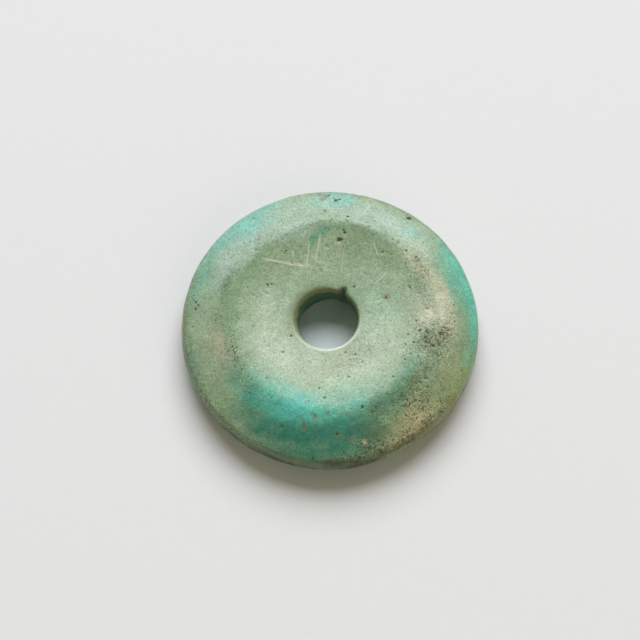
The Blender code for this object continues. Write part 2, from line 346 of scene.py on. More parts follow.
# Single marks: turn, reach, radius, depth, dirt
MARKS = (
    (79, 0.570, 0.34, 0.14, 1.0), (77.5, 0.573, 0.22, 0.08, 0.9), (76, 0.622, 0.20, 0.07, 1.0),
    (77, 0.640, 0.15, 0.05, 0.8), (75.8, 0.748, 0.24, 0.06, 0.8), (83, 0.893, 0.30, 0.10, 0.9),
    (81.5, 0.905, 0.20, 0.06, 0.8), (84, 0.915, 0.16, 0.05, 0.6), (50, 0.936, 0.34, 0.14, 1.0),
    (50.6, 0.930, 0.22, 0.10, 1.0), (86, 0.945, 0.28, 0.10, 0.6), (88, 0.792, 0.18, 0.06, 0.7),
    (16.3, 0.408, 0.17, 0.05, 0.9), (18.4, 0.411, 0.14, 0.04, 0.9), (17, 0.395, 0.12, 0.04, 0.7),
    (-14.5, 0.606, 0.20, 0.06, 1.0), (-18.5, 0.652, 0.20, 0.06, 0.9), (-23, 0.590, 0.19, 0.05, 0.9),
    (-25.5, 0.542, 0.16, 0.05, 0.9), (-18.3, 0.538, 0.15, 0.04, 0.8), (-14.5, 0.655, 0.15, 0.05, 0.8),
    (-24, 0.672, 0.17, 0.06, 0.8), (-7.5, 0.580, 0.17, 0.05, 0.9), (-5, 0.576, 0.12, 0.04, 0.7),
    (-13.5, 0.575, 0.14, 0.04, 0.6), (-8, 0.528, 0.10, 0.03, 0.6), (-36, 0.583, 0.16, 0.04, 0.6),
    (-50, 0.600, 0.16, 0.04, 0.7), (-158.5, 0.278, 0.20, 0.06, 0.9), (-157.5, 0.445, 0.14, 0.04, 0.5),
    (-146, 0.385, 0.17, 0.05, 0.7), (-177.5, 0.503, 0.14, 0.04, 0.6), (-86, 0.417, 0.15, 0.04, 0.5),
    (-77, 0.440, 0.17, 0.04, 0.6), (-70, 0.265, 0.17, 0.04, 0.7), (-60, 0.310, 0.15, 0.05, 0.8),
    (-79.5, 0.268, 0.12, 0.04, 0.5), (143, 0.460, 0.15, 0.04, 0.7), (145, 0.480, 0.17, 0.04, 0.8),
    (146.5, 0.465, 0.12, 0.04, 0.7), (142, 0.440, 0.13, 0.04, 0.8), (116.5, 0.567, 0.15, 0.04, 0.7),
    (110, 0.505, 0.15, 0.04, 0.5), (115, 0.432, 0.12, 0.03, 0.5), (50, 0.288, 0.20, 0.04, 0.7),
    (50, 0.408, 0.14, 0.03, 0.5), (-97, 0.572, 0.16, 0.04, 0.8), (-101.5, 0.506, 0.14, 0.04, 0.8),
    (-79, 0.885, 0.28, 0.10, 0.0), (-90.5, 0.810, 0.22, 0.07, 0.7), (-101.5, 0.700, 0.20, 0.08, 0.55),
    (-106, 0.785, 0.22, 0.08, 0.25), (-75.5, 0.675, 0.26, 0.06, 0.8), (-71.5, 0.725, 0.20, 0.05, 0.6),
    (-138.5, 0.742, 0.18, 0.05, 0.5), (-120.5, 0.882, 0.14, 0.04, 0.7), (-100.5, 0.965, 0.18, 0.05, 0.6),
    (167, 0.905, 0.20, 0.07, 0.9), (168.3, 0.885, 0.17, 0.06, 0.9), (169.8, 0.900, 0.20, 0.07, 0.9),
    (166, 0.925, 0.15, 0.05, 0.7), (165, 0.940, 0.12, 0.04, 0.6), (17, 0.580, 0.18, 0.05, 0.7),
    (18.5, 0.572, 0.13, 0.04, 0.6), (32, 0.725, 0.18, 0.05, 0.7), (38, 0.705, 0.20, 0.05, 0.7),
    (29.5, 0.716, 0.15, 0.04, 0.7), (48, 0.706, 0.16, 0.04, 0.6), (120, 0.928, 0.20, 0.06, 0.5),
    (127, 0.945, 0.16, 0.05, 0.5), (134, 0.920, 0.14, 0.04, 0.5), (132, 0.797, 0.16, 0.04, 0.5),
    (63.5, 0.707, 0.18, 0.05, 0.6), (98.5, 0.800, 0.14, 0.04, 0.4), (154, 0.585, 0.15, 0.04, 0.5),
    (-14, 0.745, 0.26, 0.05, 0.8), (-21.5, 0.718, 0.26, 0.05, 0.8), (-11, 0.795, 0.20, 0.05, 0.7),
    (-10, 0.765, 0.16, 0.04, 0.7), (-6, 0.832, 0.15, 0.04, 0.7), (2, 0.838, 0.15, 0.04, 0.6),
)

# ---------------------------------------------------------------- stains and dirt, in millimetres
# Small stains round single marks: colour, then turn, reach, radius and strength of each
STAINS = (
    ((0.235, 0.205, 0.115, 1.0), (
        (-106, 0.785, 0.40, 0.50), (-101.5, 0.705, 0.32, 0.55), (88, 0.785, 0.40, 0.45),
        (89.5, 0.765, 0.28, 0.45), (17, 0.414, 0.62, 0.60), (19.5, 0.400, 0.40, 0.40),
        (87.5, 0.930, 0.55, 0.75), (90, 0.955, 0.50, 0.60), (89, 0.910, 0.30, 0.35),
        (-72, 0.735, 0.35, 0.45), (30, 0.710, 0.40, 0.35), (-84, 0.850, 0.30, 0.40),
    )),
    ((0.520, 0.400, 0.270, 1.0), (
        (-79, 0.885, 0.38, 0.80), (79.5, 0.548, 0.28, 0.50), (91, 0.930, 0.25, 0.35),
        (80, 0.229, 0.22, 0.40), (74, 0.231, 0.22, 0.55), (68, 0.235, 0.18, 0.50),
    )),
    ((0.130, 0.140, 0.060, 1.0), (
        (89, 0.905, 0.45, 0.45), (-90.5, 0.808, 0.30, 0.60), (-88.5, 0.830, 0.28, 0.60),
        (-86.5, 0.845, 0.28, 0.60), (-84.5, 0.856, 0.26, 0.50), (-106.5, 0.765, 0.30, 0.50),
        (-93, 0.795, 0.25, 0.40), (-95, 0.680, 0.30, 0.40), (-103, 0.690, 0.30, 0.40),
    )),
)
SPOT_CORE = 0.3  # the part of its radius up to which a stain or a mark's dirt is whole
SPOT_GRAIN = (6.0, 2.0, 0.5)
SPOT_DRIFT = 0.35

# Pale scratches: turn and reach of both ends, width, strength
SCRATCHES = (
    (131.5, 0.612, 105, 0.402, 0.20, 0.95), (124, 0.535, 103, 0.412, 0.12, 0.70),
    (91.5, 0.600, 98, 0.435, 0.20, 0.95), (99, 0.572, 106.5, 0.425, 0.16, 0.85),
    (57, 0.625, 49, 0.552, 0.15, 0.80), (112, 0.555, 114, 0.510, 0.16, 0.65),
    (36, 0.520, 35.2, 0.400, 0.20, 0.75), (38, 0.480, 37.8, 0.430, 0.12, 0.40),
    (74, 0.500, 73, 0.370, 0.12, 0.40), (80, 0.500, 79.5, 0.440, 0.10, 0.30),
    (67.5, 0.900, 69, 0.820, 0.20, 0.75), (-133.5, 0.960, -131.5, 0.895, 0.12, 0.40),
    (164, 0.440, 157, 0.370, 0.14, 0.50), (171, 0.470, 158, 0.440, 0.12, 0.45),
    (-100, 0.580, -104, 0.500, 0.10, 0.30), (-118, 0.640, -117, 0.540, 0.10, 0.30),
    (66, 0.330, 60, 0.370, 0.12, 0.45), (41, 0.370, 46, 0.430, 0.10, 0.30),
    (120, 0.410, 116, 0.380, 0.12, 0.50),
)
SCRATCH_SIDES = (0.25, 0.75)  # parts of its width over which a scratch fades out to the side
SCRATCH_ENDS = (-0.10, 0.16)  # parts of its length over which it fades in from either end
SCRATCH_COLOUR = (0.49, 0.54, 0.37, 1.0)

# The hole: dirt and stain on its far and left sides with painted shade on the wall below their lip, and a
# worn lip with a painted highlight over clean stone on the near one.
# A side is the turn that it lies at, and how narrow it is.
STAINED_SIDE = (138.0, 4.0)
UNSOILED_SIDE = (-90.0, 3.0)
WORN_LIP_HIGHLIGHT_SIDE = (-74.0, 3.5)
CLEAN_SIDE = (-90.0, 7.0)
NICK_SIDE = (NOTCH_TURN, 220.0)
# How far outside the mouth each fades out
WALL_EDGE = (0.0, 0.08)
STAIN_EDGE = (0.35, 0.95)
WORN_LIP_HIGHLIGHT_EDGE = (0.15, 0.36)
NICK_EDGE = (0.35, 0.62)
# Between which heights the painted highlight on the worn lip fades out downwards, and each of the others
# upwards
WORN_LIP_HIGHLIGHT_FOOT = (2.95, 3.35)
THROAT_SHADE_TOP = (3.0, 3.35)
DEEP_TOP = (2.4, 2.75)
CLEAN_TOP = (2.6, 3.3)
HOLE_GRAIN = (1.3, 3.0, 0.6)
STAIN_RAGGED = 0.5
THROAT_RAGGED = 0.6
CLEAN_RAGGED = 1.6
WALL_GRAIN = (4.0, 3.0, 0.7)
WALL_CONTRAST = 1.1
STAIN_STRENGTH = 0.75
SOILED_STRENGTH = 0.8
NICK_STRENGTH = 0.9
STAIN_COLOUR = (0.175, 0.215, 0.100, 1.0)
# a painted highlight on the worn near lip
WORN_LIP_HIGHLIGHT_COLOUR = (0.640, 0.680, 0.590, 1.0)
SOILED_COLOUR = (0.200, 0.230, 0.105, 1.0)
# painted shade on the wall below the far and left lip of the hole
THROAT_SHADE_COLOUR = (0.060, 0.105, 0.062, 1.0)
DEEP_COLOUR = (0.046, 0.130, 0.098, 1.0)
CLEAN_COLOUR = (0.045, 0.620, 0.470, 1.0)
NICK_COLOUR = (0.050, 0.075, 0.035, 1.0)

# ---------------------------------------------------------------- grain, specks and shine
FINE_GRAIN = (5.5, 2.0, 0.7)
GRAIN_CONTRAST = 1.2
GRIT_CONTRAST = 1.2  # what the grit adds to it
MOTTLE_GRAIN = (2.6, 2.0, 0.6)
MOTTLE_CONTRAST = 0.5
BROAD_GRAIN = (1.5, 2.0, 0.6)
BROAD_CONTRAST = 0.30
FLECK_GRAIN = (3.2, 2.0, 0.5)
FLECK_EDGE = (0.60, 0.74)
FLECK_LIFT = (1.09, 1.08, 1.09, 1.0)

# Dark specks: scale and detail of a noise, its level at their edge on bare stone and in thick grit, and
# their strength
SPECKS = ((6.0, 1.0, 0.68, 0.53, 0.65), (3.2, 2.0, 0.71, 0.54, 0.80), (2.1, 4.0, 0.76, 0.57, 0.75))
SPECK_RAGGED = 0.7
SPECK_EDGE = 0.05
SPECK_COLOUR = (0.055, 0.060, 0.030, 1.0)
DIRT_EDGE = (0.05, 0.75)
DIRT_STRENGTH = 0.9
DIRT_COLOUR = (0.050, 0.042, 0.025, 1.0)

STONE_ROUGHNESS = 0.45
ROUGHNESS_CHANGE = 0.24  # with the broad grain
DIRT_ROUGHNESS = 0.3  # what dirt, specks and the soiled hole add
GRAIN_RELIEF = 0.5
SPECK_RELIEF = 0.6
BUMP_STRENGTH = 0.5
BUMP_HEIGHT = 0.03 * MM


def smooth_step(value, low, high):
    """0 below low, 1 above high, and a smooth rise between them."""
    part = np.clip((value - low) / (high - low), 0.0, 1.0)
    return part * part * (3 - 2 * part)


def turn_from(turn, middle):
    """The angle in degrees from middle to turn, between -180 and 180."""
    return (turn - middle + 180.0) % 360.0 - 180.0


def section_corners():
    """Corners of the bead's section: radius, height and rounding, from the waist of the hole."""
    edge = DIAMETER / 2
    ridge = RIDGE_DIAMETER / 2
    shoulder = edge - EDGE_LEAN
    shoulder_height = THICKNESS - (shoulder - ridge) * math.tan(BEVEL_SLOPE)
    return (
        (HOLE_WAIST / 2, WAIST_HEIGHT, WAIST_ROUND),
        (UPPER_MOUTH / 2, UPPER_MOUTH_HEIGHT, LIP_ROUND),
        (DISH_DIAMETER / 2, UPPER_MOUTH_HEIGHT + DISH_FALL, DISH_ROUND),
        (ridge, THICKNESS, RIDGE_ROUND),
        (shoulder, shoulder_height, SHOULDER_ROUND),
        (edge, EDGE_HEIGHT, EDGE_ROUND),
        (edge - UNDERCUT, 0.0, FOOT_ROUND),
        (BASE_INNER_DIAMETER / 2, 0.0, BASE_ROUND),
        (LOWER_MOUTH / 2, LOWER_MOUTH_HEIGHT, LIP_ROUND),
    )


def section_outline():
    """The rounded section as a closed line of (radius, height) points."""
    corners = section_corners()
    outline = []
    for index, (radius, height, rounding) in enumerate(corners):
        corner = Vector((radius, height, 0.0))
        ahead = corners[(index + 1) % len(corners)]
        to_last = (Vector((*corners[index - 1][:2], 0.0)) - corner).normalized()
        to_next = (Vector((*ahead[:2], 0.0)) - corner).normalized()
        half_angle = to_last.angle(to_next) / 2
        centre = corner + (to_last + to_next).normalized() * rounding / math.sin(half_angle)
        first_arm = corner + to_last * rounding / math.tan(half_angle) - centre
        last_arm = corner + to_next * rounding / math.tan(half_angle) - centre
        for step in range(ARC_STEPS + 1):
            point = centre + rounding * first_arm.slerp(last_arm, step / ARC_STEPS)
            outline.append((point.x, point.y))
    return np.array(outline + outline[:1])


def section_points():
    """RINGS (radius, height) points round the section, closest together at the upper lip of the hole."""
    outline = section_outline()
    steps = np.hypot(*np.diff(outline, axis=0).T)
    middle_radius, middle_height = (outline[1:] + outline[:-1]).T / 2
    density = UNDERSIDE_DENSITY + (1 - UNDERSIDE_DENSITY) * smooth_step(middle_height, 0.0, UNDERSIDE_TOP)
    spread_from, spread_to = (UPPER_MOUTH / 2 + apart for apart in LIP_SURROUND)
    near_lip = smooth_step(middle_height, WAIST_HEIGHT / 2, WAIST_HEIGHT)
    near_lip = near_lip * (1.0 - smooth_step(middle_radius, spread_from, spread_to))
    density = density + (LIP_DENSITY - 1.0) * near_lip
    along = np.concatenate(([0.0], np.cumsum(steps * density)))
    wanted = np.linspace(0.0, along[-1], RINGS, endpoint=False)
    return np.interp(wanted, along, outline[:, 0]), np.interp(wanted, along, outline[:, 1])


def worn_form():
    """The bead's points as ground, worn and nicked: one row for each turn, one column for each ring."""
    section_radius, section_height = section_points()
    turn = np.linspace(0.0, 360.0, SIDES, endpoint=False)[:, None]
    radius = np.broadcast_to(section_radius, (SIDES, RINGS))
    height = np.broadcast_to(section_height, (SIDES, RINGS))
    edge = DIAMETER / 2
    mouth = UPPER_MOUTH / 2
    upper = smooth_step(height, WEAR_FROM, WEAR_FULL)

    wear = np.cos(np.radians(turn_from(turn, WEAR_TURN)) / 2) ** 2
    from_ridge = (radius - RIDGE_DIAMETER / 2) / WEAR_WIDTH
    worn_height = height - upper * WEAR_DEPTH * wear * np.exp(-(from_ridge**2))

    nick = np.exp(-((turn_from(turn, NOTCH_TURN) / NOTCH_SPREAD) ** 2))
    reach = 1.0 - smooth_step(radius, mouth, mouth + NOTCH_REACH)
    grown = radius + upper * nick * reach * NOTCH_DEPTH
    for count, part, lobe_turn in LOBES:
        lobe = np.cos(np.radians(count * turn_from(turn, lobe_turn)))
        grown = grown + edge * part * lobe * (radius / edge) ** 2

    hole_share = 1.0 - smooth_step(radius, mouth, DISH_DIAMETER / 2)
    ridge_share = (1.0 - hole_share) * (1.0 - smooth_step(radius, RIDGE_DIAMETER / 2, edge)) * upper
    lean = 1.0 - height / UPPER_MOUTH_HEIGHT
    x_offset = (HOLE_OFFSET[0] + HOLE_LEAN[0] * lean) * hole_share + RIDGE_OFFSET[0] * ridge_share
    y_offset = (HOLE_OFFSET[1] + HOLE_LEAN[1] * lean) * hole_share + RIDGE_OFFSET[1] * ridge_share
    x = grown * np.cos(np.radians(turn)) + x_offset
    y = grown * np.sin(np.radians(turn)) + y_offset
    return np.stack((x, y, worn_height), axis=-1)


def outward(points):
    """Unit normals of a closed grid of points, pointing out of the stone."""
    round_bead = np.roll(points, -1, axis=0) - np.roll(points, 1, axis=0)
    round_section = np.roll(points, -1, axis=1) - np.roll(points, 1, axis=1)
    normal = np.cross(round_section, round_bead)
    normal /= np.linalg.norm(normal, axis=-1, keepdims=True)
    return normal


def clouds(points, size, octaves, seed):
    """A smooth random field over the points, mostly between -1 and 1, with features about size across."""
    shift = Vector([part * seed for part in CLOUD_SHIFT])
    values = [
        noise.fractal(Vector(point) / size + shift, CLOUD_SMOOTHNESS, CLOUD_FINENESS, octaves)
        for point in points.reshape(-1, 3)
    ]
    return np.array(values).reshape(points.shape[:-1])


def bowls(points, centre, radius):
    """1 at the centre of a smooth round hollow and 0 from its radius outwards."""
    apart = np.linalg.norm(points - centre, axis=-1) / radius
    return np.clip(1.0 - apart**2, 0.0, None) ** 2


def cover(turn, reach, patches):
    """How much of each place soft patches cover, 0 to 1."""
    bare = np.ones_like(reach)
    for middle, middle_reach, turn_spread, reach_spread, strength in patches:
        away = (turn_from(turn, middle) / turn_spread) ** 2 + ((reach - middle_reach) / reach_spread) ** 2
        bare *= 1.0 - strength * np.exp(-away)
    return 1.0 - bare


def places(points):
    """The turn and reach of each point, drifting a little so that no stain has a ruled edge."""
    turn = np.degrees(np.arctan2(points[..., 1], points[..., 0]))
    reach = np.hypot(points[..., 0], points[..., 1]) / REACH_RADIUS
    below = np.clip(WALL_TOP - points[..., 2], 0.0, None) / REACH_RADIUS
    reach = reach + WALL_SHARE * below * smooth_step(reach, *WALL_START)
    turn_drift = np.zeros_like(turn)
    for index, (size, octaves, degrees, _) in enumerate(DRIFTS):
        turn_drift += degrees * clouds(points, size, octaves, TURN_SEED + index)
    turn = turn + turn_drift / np.maximum(reach, DRIFT_CORE)
    for index, (size, octaves, _, part) in enumerate(DRIFTS):
        reach = reach + part * clouds(points, size, octaves, REACH_SEED + index)
    return turn, reach


def painted(points, height):
    """The stone's colour at each point, and how thick the fine grit lies there."""
    turn, reach = places(points)
    broken = clouds(points, BREAK_SIZE, COAT_OCTAVES, BREAK_SEED)
    coated = smooth_step(height + COATED_RAGGED * broken, COATED_FROM, COATED_FULL)
    colour = np.broadcast_to(np.array(GREEN), points.shape).copy()
    for index, (tint, ragged, patches) in enumerate(COATS):
        share = cover(turn, reach, patches) * (1.0 + ragged * np.roll(broken, COAT_SHIFT * index, axis=0))
        share = (np.clip(share, 0.0, 1.0) * coated)[..., None]
        colour = colour * (1.0 - share) + np.array(tint) * share
    tone = clouds(points, TONE_SIZE, COAT_OCTAVES, TONE_SEED)
    colour *= (1.0 + TONE_CHANGE * tone)[..., None]
    grit = np.clip(cover(turn, reach, GRIT) * (1.0 + GRIT_RAGGED * broken), 0.0, 1.0) * coated
    return colour, np.clip(grit + GRIT_EVERYWHERE, 0.0, 1.0)


def nearest(points, turn, reach):
    """The point of the upper side that lies at a turn and reach."""
    angle = math.radians(turn)
    target = np.array((math.cos(angle), math.sin(angle))) * reach * REACH_RADIUS
    apart = np.linalg.norm(points[..., :2] - target, axis=-1)
    apart = np.where(points[..., 2] > MARKED_FROM, apart, np.inf)
    return points[np.unravel_index(np.argmin(apart), apart.shape)]


def hollows(points, height, grit):
    """Depth of the pits and single marks at each point, and the dirt that fills the pits."""
    depth = np.zeros_like(height)
    dirt = np.zeros_like(height)
    chance = random.Random(PIT_SEED)
    made = 0
    while made < PIT_COUNT:
        row = chance.randrange(SIDES)
        column = chance.randrange(RINGS)
        keep = chance.random()
        size = PIT_RADIUS[0] + (PIT_RADIUS[1] - PIT_RADIUS[0]) * chance.random() ** PIT_SMALLNESS
        stained = PIT_DIRT * chance.random()
        reach = np.hypot(*points[row, column, :2]) / REACH_RADIUS
        left_out = height[row, column] < PIT_FLOOR * MM or reach < PIT_NEAREST
        if left_out or keep > reach * (PIT_CHANCE + grit[row, column]):
            continue
        bowl = bowls(points, points[row, column], size * MM)
        depth = np.maximum(depth, bowl * size * PIT_STEEPNESS * MM)
        dirt = np.maximum(dirt, bowl * stained)
        made += 1
    for turn, reach, radius, deep, _ in MARKS:
        bowl = bowls(points, nearest(points, turn, reach), radius * MM)
        depth = np.maximum(depth, bowl * deep * MM)
    return depth, dirt


def swelled(points, height):
    """How far the uneven grinding lifts each point."""
    swell = np.zeros_like(height)
    for index, (size, amount) in enumerate(SWELLS):
        swell += amount * MM * clouds(points, size * MM, SWELL_OCTAVES, SWELL_SEED + index)
    return swell * smooth_step(height, 0.0, REST_TOP * MM)


def grid_faces():
    """The four points of each face of a grid that is closed both ways."""
    across, along = np.meshgrid(np.arange(SIDES), np.arange(RINGS), indexing="ij")
    next_across = (across + 1) % SIDES
    next_along = (along + 1) % RINGS
    corners = ((across, along), (next_across, along), (next_across, next_along), (across, next_along))
    faces = np.stack([row * RINGS + column for row, column in corners], axis=-1)
    return faces.reshape(-1, 4).tolist()


def make_bead():
    """The bead's mesh, with its relief, and its colours, grit and dirt kept on its points."""
    points = worn_form()
    low, high = (np.array(corner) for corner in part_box("disc_bead"))
    flat = points.reshape(-1, 3)
    middle = (flat.min(axis=0) + flat.max(axis=0)) / 2
    points = points + np.array((*((low + high) / 2 - middle)[:2], 0.0))
    height = points[..., 2]

    colour, grit = painted(points, height)
    depth, dirt = hollows(points, height, grit)
    moved = points + outward(points) * (swelled(points, height) - depth)[..., None]
    mesh = bpy.data.meshes.new("worn_bead")
    mesh.from_pydata(moved.reshape(-1, 3).tolist(), [], grid_faces())
    mesh.shade_smooth()
    tints = np.concatenate((colour, np.ones_like(colour[..., :1])), axis=-1)
    mesh.attributes.new("stone", "FLOAT_COLOR", "POINT").data.foreach_set("color", tints.ravel())
    for name, values in (("grit", grit), ("dirt", dirt)):
        mesh.attributes.new(name, "FLOAT", "POINT").data.foreach_set("value", values.ravel())
    bead = bpy.data.objects.new("worn_bead", mesh)
    bpy.context.scene.collection.objects.link(bead)
    return bead


# ---------------------------------------------------------------- materials
def add(tree, kind, inputs, **settings):
    """A new node. Its inputs are values, or sockets to be joined."""
    new = tree.nodes.new(kind)
    for name, value in settings.items():
        setattr(new, name, value)
    for name, value in inputs.items():
        if isinstance(value, bpy.types.NodeSocket):
            tree.links.new(value, new.inputs[name])
        else:
            new.inputs[name].default_value = value
    return new


def reckon(tree, operation, first, second=0.0, third=0.0):
    return add(tree, "ShaderNodeMath", {0: first, 1: second, 2: third}, operation=operation).outputs[0]


def times(tree, first, second):
    return reckon(tree, "MULTIPLY", first, second)


def vector(tree, operation, first, second=(0.0, 0.0, 0.0)):
    return add(tree, "ShaderNodeVectorMath", {0: first, 1: second}, operation=operation)


def scaled(tree, arrow, amount):
    return add(tree, "ShaderNodeVectorMath", {0: arrow, "Scale": amount}, operation="SCALE").outputs[0]


def rise(tree, value, low, high):
    """0 below low, 1 above high, and a smooth rise between them."""
    inputs = {"Value": value, "From Min": low, "From Max": high}
    return add(tree, "ShaderNodeMapRange", inputs, interpolation_type="SMOOTHSTEP").outputs["Result"]


def fall(tree, value, low, high):
    """1 below low, 0 above high, and a smooth fall between them."""
    return reckon(tree, "SUBTRACT", 1.0, rise(tree, value, low, high))


def blend(tree, share, under, over, kind="MIX"):
    inputs = {"Factor": share, 6: under, 7: over}
    return add(tree, "ShaderNodeMix", inputs, data_type="RGBA", blend_type=kind).outputs[2]


def grey(tree, tone):
    return add(tree, "ShaderNodeCombineColor", {0: tone, 1: tone, 2: tone}).outputs[0]


def in_millimetres(tree):
    """The place on the object itself, in millimetres."""
    return scaled(tree, add(tree, "ShaderNodeTexCoord", {}).outputs["Object"], 1 / MM)


def noise_node(tree, where, scale, detail, roughness):
    inputs = {"Vector": where, "Scale": scale, "Detail": detail, "Roughness": roughness}
    return add(tree, "ShaderNodeTexNoise", inputs)


def grain(tree, where, scale, detail, roughness):
    return noise_node(tree, where, scale, detail, roughness).outputs["Fac"]


def attribute(tree, name):
    return add(tree, "ShaderNodeAttribute", {}, attribute_name=name)


def flat_place(turn, reach):
    """A turn and reach as a place seen from straight above, in millimetres."""
    angle = math.radians(turn)
    return Vector((math.cos(angle), math.sin(angle), 0.0)) * reach * REACH_RADIUS / MM


def specks(tree, where, grit):
    """Small ragged specks where a noise is high: few over bare stone, crowded where the grit is thick."""
    darkest = 0.0
    for scale, detail, bare, thick, strength in SPECKS:
        level = reckon(tree, "SUBTRACT", bare, times(tree, grit, bare - thick))
        above = reckon(tree, "SUBTRACT", grain(tree, where, scale, detail, SPECK_RAGGED), level)
        layer = times(tree, rise(tree, above, 0.0, SPECK_EDGE), strength)
        darkest = reckon(tree, "MAXIMUM", layer, darkest)
    return darkest


def scratches(tree, where):
    """Fine straight scratches: the strongest of them at each place."""
    strongest = 0.0
    for turn, reach, end_turn, end_reach, width, strength in SCRATCHES:
        start = flat_place(turn, reach)
        along = flat_place(end_turn, end_reach) - start
        from_start = vector(tree, "SUBTRACT", where, start).outputs[0]
        part = vector(tree, "DOT_PRODUCT", from_start, along / along.length_squared).outputs["Value"]
        held = add(tree, "ShaderNodeClamp", {"Value": part}).outputs[0]
        apart = vector(tree, "DISTANCE", from_start, scaled(tree, along, held)).outputs["Value"]
        fade = rise(tree, reckon(tree, "PINGPONG", held, 0.5), *SCRATCH_ENDS)
        line = fall(tree, apart, *(width * share for share in SCRATCH_SIDES))
        shown = times(tree, times(tree, line, fade), strength)
        strongest = reckon(tree, "MAXIMUM", shown, strongest)
    return strongest


def spots(tree, where, marks):
    """Ragged spots at single marks, as turn, reach, radius and strength: the strongest at each place."""
    drift = noise_node(tree, where, *SPOT_GRAIN).outputs["Color"]
    drift = vector(tree, "SUBTRACT", drift, (0.5, 0.5, 0.5)).outputs[0]
    inputs = {0: drift, 1: (SPOT_DRIFT, SPOT_DRIFT, 0.0), 2: where}
    drifted = add(tree, "ShaderNodeVectorMath", inputs, operation="MULTIPLY_ADD").outputs[0]
    strongest = 0.0
    for turn, reach, radius, strength in marks:
        apart = vector(tree, "DISTANCE", drifted, flat_place(turn, reach)).outputs["Value"]
        spot = times(tree, fall(tree, apart, radius * SPOT_CORE, radius), strength)
        strongest = reckon(tree, "MAXIMUM", spot, strongest)
    return strongest


def facing(tree, side, turn, power):
    """1 where a direction round the hole's axis is at a turn, falling to 0 across from it."""
    angle = math.radians(turn)
    along = vector(tree, "DOT_PRODUCT", side, (math.cos(angle), math.sin(angle), 0.0)).outputs["Value"]
    return reckon(tree, "POWER", reckon(tree, "MULTIPLY_ADD", along, 0.5, 0.5), power)


def paint_hole(tree, where, flat, colour):
    """The colour with that of the hole's wall, lip and nick laid on, with painted shade on the wall below
    the far and left lip and a painted highlight on the worn near lip, and where its dirt makes it dull.
    """
    axis = (HOLE_OFFSET[0] / MM, HOLE_OFFSET[1] / MM, 0.0)
    from_axis = vector(tree, "SUBTRACT", flat, axis).outputs[0]
    side = vector(tree, "NORMALIZE", from_axis).outputs[0]
    apart = vector(tree, "LENGTH", from_axis).outputs["Value"]
    from_lip = reckon(tree, "SUBTRACT", apart, UPPER_MOUTH / 2 / MM)
    height = add(tree, "ShaderNodeSeparateXYZ", {0: where}).outputs["Z"]
    uneven = reckon(tree, "SUBTRACT", grain(tree, where, *HOLE_GRAIN), 0.5)
    stain_edge = reckon(tree, "MULTIPLY_ADD", uneven, STAIN_RAGGED, from_lip)
    throat_edge = reckon(tree, "MULTIPLY_ADD", uneven, THROAT_RAGGED, height)
    clean_edge = reckon(tree, "MULTIPLY_ADD", uneven, CLEAN_RAGGED, height)

    wall = fall(tree, from_lip, *WALL_EDGE)
    unsoiled = facing(tree, side, *UNSOILED_SIDE)
    soiled = times(tree, wall, reckon(tree, "SUBTRACT", 1.0, unsoiled))
    stain = times(tree, fall(tree, stain_edge, *STAIN_EDGE), facing(tree, side, *STAINED_SIDE))
    # painted highlight on the worn near lip of the hole
    worn_lip_highlight = times(tree, fall(tree, from_lip, *WORN_LIP_HIGHLIGHT_EDGE), facing(tree, side, *WORN_LIP_HIGHLIGHT_SIDE))
    worn_lip_highlight = times(tree, worn_lip_highlight, rise(tree, throat_edge, *WORN_LIP_HIGHLIGHT_FOOT))
    # painted shade on the soiled wall below the far and left lip
    throat_shade = times(tree, soiled, fall(tree, throat_edge, *THROAT_SHADE_TOP))
    deep = times(tree, wall, fall(tree, height, *DEEP_TOP))
    clean = times(tree, wall, fall(tree, clean_edge, *CLEAN_TOP))
    clean = times(tree, clean, facing(tree, side, *CLEAN_SIDE))
    nick = times(tree, facing(tree, side, *NICK_SIDE), fall(tree, from_lip, *NICK_EDGE))

    colour = blend(tree, times(tree, stain, STAIN_STRENGTH), colour, STAIN_COLOUR)
    colour = blend(tree, worn_lip_highlight, colour, WORN_LIP_HIGHLIGHT_COLOUR)
    colour = blend(tree, times(tree, soiled, SOILED_STRENGTH), colour, SOILED_COLOUR)
    colour = blend(tree, throat_shade, colour, THROAT_SHADE_COLOUR)
    colour = blend(tree, deep, colour, DEEP_COLOUR)
    colour = blend(tree, clean, colour, CLEAN_COLOUR)
    rough = grain(tree, where, *WALL_GRAIN)
    rough = grey(tree, reckon(tree, "MULTIPLY_ADD", rough, WALL_CONTRAST, 1 - WALL_CONTRAST / 2))
    colour = blend(tree, wall, colour, rough, "MULTIPLY")
    colour = blend(tree, times(tree, nick, NICK_STRENGTH), colour, NICK_COLOUR)
    return colour, reckon(tree, "MAXIMUM", soiled, nick)


def grained(tree, where, grit, fine, broad, colour):
    """The colour made lighter and darker by the grain, with pale flecks."""
    contrast = reckon(tree, "ADD", times(tree, grit, GRIT_CONTRAST), GRAIN_CONTRAST)
    tone = reckon(tree, "MULTIPLY_ADD", reckon(tree, "SUBTRACT", fine, 0.5), contrast, 1.0)
    mottle = grain(tree, where, *MOTTLE_GRAIN)
    for field, change in ((mottle, MOTTLE_CONTRAST), (broad, BROAD_CONTRAST)):
        lift = reckon(tree, "ADD", times(tree, field, change), 1 - change / 2)
        tone = times(tree, tone, lift)
    colour = blend(tree, 1.0, colour, grey(tree, tone), "MULTIPLY")
    flecks = rise(tree, grain(tree, where, *FLECK_GRAIN), *FLECK_EDGE)
    return blend(tree, flecks, colour, FLECK_LIFT, "MULTIPLY")


